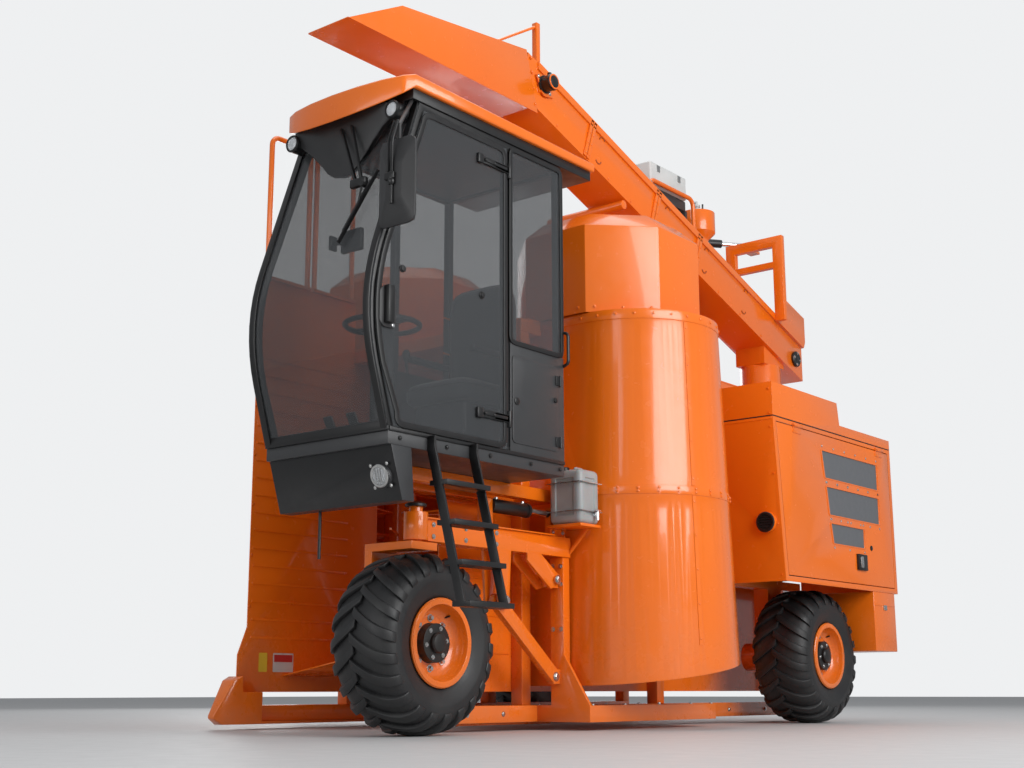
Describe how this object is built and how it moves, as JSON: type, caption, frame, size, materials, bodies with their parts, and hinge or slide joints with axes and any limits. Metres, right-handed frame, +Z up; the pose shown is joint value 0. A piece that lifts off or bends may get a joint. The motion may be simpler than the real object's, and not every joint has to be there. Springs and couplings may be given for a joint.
{
  "type": "self-propelled coffee harvester",
  "caption": "Self-propelled coffee harvester that straddles the crop row, with upright shaking rotors, side cab, engine hood and slewing discharge elevator.",
  "frame": {"origin": "on the ground under the middle of the machine's outline", "axes": "+Z up, front towards -Y, the machine's left side towards +X"},
  "size_m": [3.2744, 5.2318, 4.3604],
  "materials": {
    "orange_paint": "gloss orange paint",
    "cab_grey_paint": "satin dark grey paint",
    "black_paint": "satin black paint",
    "chrome_steel": "polished rod",
    "cab_glass": "tinted cab glass",
    "catcher_plastic": "flexible catcher plates",
    "seat_fabric": "woven seat cover",
    "black_plastic": "moulded black plastic",
    "engine_iron": "painted casting",
    "pale_plastic": "pale grey cover",
    "tank_plastic": "translucent grey plastic",
    "tyre_rubber": "dark rubber"
  },
  "bodies": {
    "root": {"lower_rails": "orange_paint", "frame_posts": "orange_paint", "top_frame": "orange_paint", "tunnel_walls": "orange_paint", "crop_dividers": "orange_paint", "catcher_plates": "catcher_plastic", "rotor_housings": "orange_paint", "rotor_drive_covers": "orange_paint", "top_deck": "orange_paint", "front_arm": "orange_paint", "front_mast": "orange_paint", "lower_link": "orange_paint", "level_cylinder": "black_paint", "rear_frames": "orange_paint", "cab_floor": "cab_grey_paint", "cab_mounts": "orange_paint", "cab_frame": "cab_grey_paint", "windshield": "cab_glass", "cab_windows": "cab_glass", "cab_panels": "cab_grey_paint", "cab_roof": "orange_paint", "door_hinge_lugs": "cab_grey_paint", "seat": "seat_fabric", "controls": "black_plastic", "engine_hood": "orange_paint", "tank_housing": "orange_paint", "engine_block": "engine_iron", "fuel_tank": "black_plastic", "rear_box": "orange_paint", "cooler": "cab_grey_paint", "air_box": "pale_plastic", "cooler_guard": "orange_paint", "fan_housing": "orange_paint", "slew_stand": "orange_paint", "boom_rest": "orange_paint", "ladder": "cab_grey_paint", "water_tank": "tank_plastic", "rear_view_mirror": "black_plastic", "work_lamps": "black_plastic", "handrails": "orange_paint"},
    "steering_knuckle": {"front_knuckle": "orange_paint"},
    "front_wheel": {"front_tyre": "tyre_rubber", "front_rim": "orange_paint"},
    "rear_left_wheel": {"rear_left_tyre": "tyre_rubber", "rear_left_rim": "orange_paint"},
    "rear_right_wheel": {"rear_right_tyre": "tyre_rubber", "rear_right_rim": "orange_paint"},
    "left_rotor": {"rotor_left": "orange_paint"},
    "right_rotor": {"rotor_right": "orange_paint"},
    "fan_impeller": {"fan_rotor": "black_plastic"},
    "door_leaf": {"cab_door": "cab_glass", "door_fittings": "black_plastic"},
    "hood_door_leaf": {"hood_door": "orange_paint", "hood_door_fittings": "black_plastic"},
    "elevator": {"boom": "orange_paint", "spout": "orange_paint", "spout_stay": "orange_paint", "boom_yoke": "orange_paint"},
    "slew_barrel_body": {"slew_barrel": "black_paint"},
    "slew_rod_body": {"slew_rod": "chrome_steel"}
  },
  "joints": [
    {"name": "steering", "type": "hinge", "parent": "root", "child": "steering_knuckle", "pos_m": [0.96, -1.895, 0.95], "axis": [0, 0, 1], "range_deg": [-35, 35]},
    {"name": "front_wheel_spin", "type": "hinge", "parent": "steering_knuckle", "child": "front_wheel", "pos_m": [0.96, -1.895, 0.442], "axis": [1, 0, 0], "continuous": true},
    {"name": "rear_left_wheel_spin", "type": "hinge", "parent": "root", "child": "rear_left_wheel", "pos_m": [1.19, 1.765, 0.442], "axis": [1, 0, 0], "continuous": true},
    {"name": "rear_right_wheel_spin", "type": "hinge", "parent": "root", "child": "rear_right_wheel", "pos_m": [-1.19, 1.765, 0.442], "axis": [1, 0, 0], "continuous": true},
    {"name": "left_rotor_spin", "type": "hinge", "parent": "root", "child": "left_rotor", "pos_m": [0.9, -0.045, 1.3], "axis": [0, 0, 1], "continuous": true},
    {"name": "right_rotor_spin", "type": "hinge", "parent": "root", "child": "right_rotor", "pos_m": [-0.9, -0.045, 1.3], "axis": [0, 0, 1], "continuous": true},
    {"name": "fan_spin", "type": "hinge", "parent": "root", "child": "fan_impeller", "pos_m": [0.4, 1.85, 3.65], "axis": [0, 0, 1], "continuous": true},
    {"name": "cab_door_hinge", "type": "hinge", "parent": "root", "child": "door_leaf", "pos_m": [1.318, -1.588, 2.24], "axis": [0, 0, 1], "range_deg": [0, 85]},
    {"name": "hood_door_hinge", "type": "hinge", "parent": "root", "child": "hood_door_leaf", "pos_m": [1.511, 1.75, 1.913], "axis": [0, -1, 0], "range_deg": [0, 85]},
    {"name": "boom_slew", "type": "hinge", "parent": "root", "child": "elevator", "pos_m": [0.7, 2.2, 2.6], "axis": [0, 0, 1], "range_deg": [0, 45]},
    {"name": "slew_barrel_swing", "type": "hinge", "parent": "root", "child": "slew_barrel_body", "pos_m": [0.23, 1.98, 3.65], "axis": [0, 0, 1], "range_deg": [-3, 5]},
    {"name": "slew_rod_slide", "type": "slide", "parent": "slew_barrel_body", "child": "slew_rod_body", "axis": [0.6044, 0.7967, 0], "range_m": [-0.205, 0.01]}
  ],
  "couplings": [
    {"joint": "slew_barrel_swing", "follows": "boom_slew", "ratio": 0.0241},
    {"joint": "slew_rod_slide", "follows": "boom_slew", "m_per_rad": -0.2512}
  ]
}
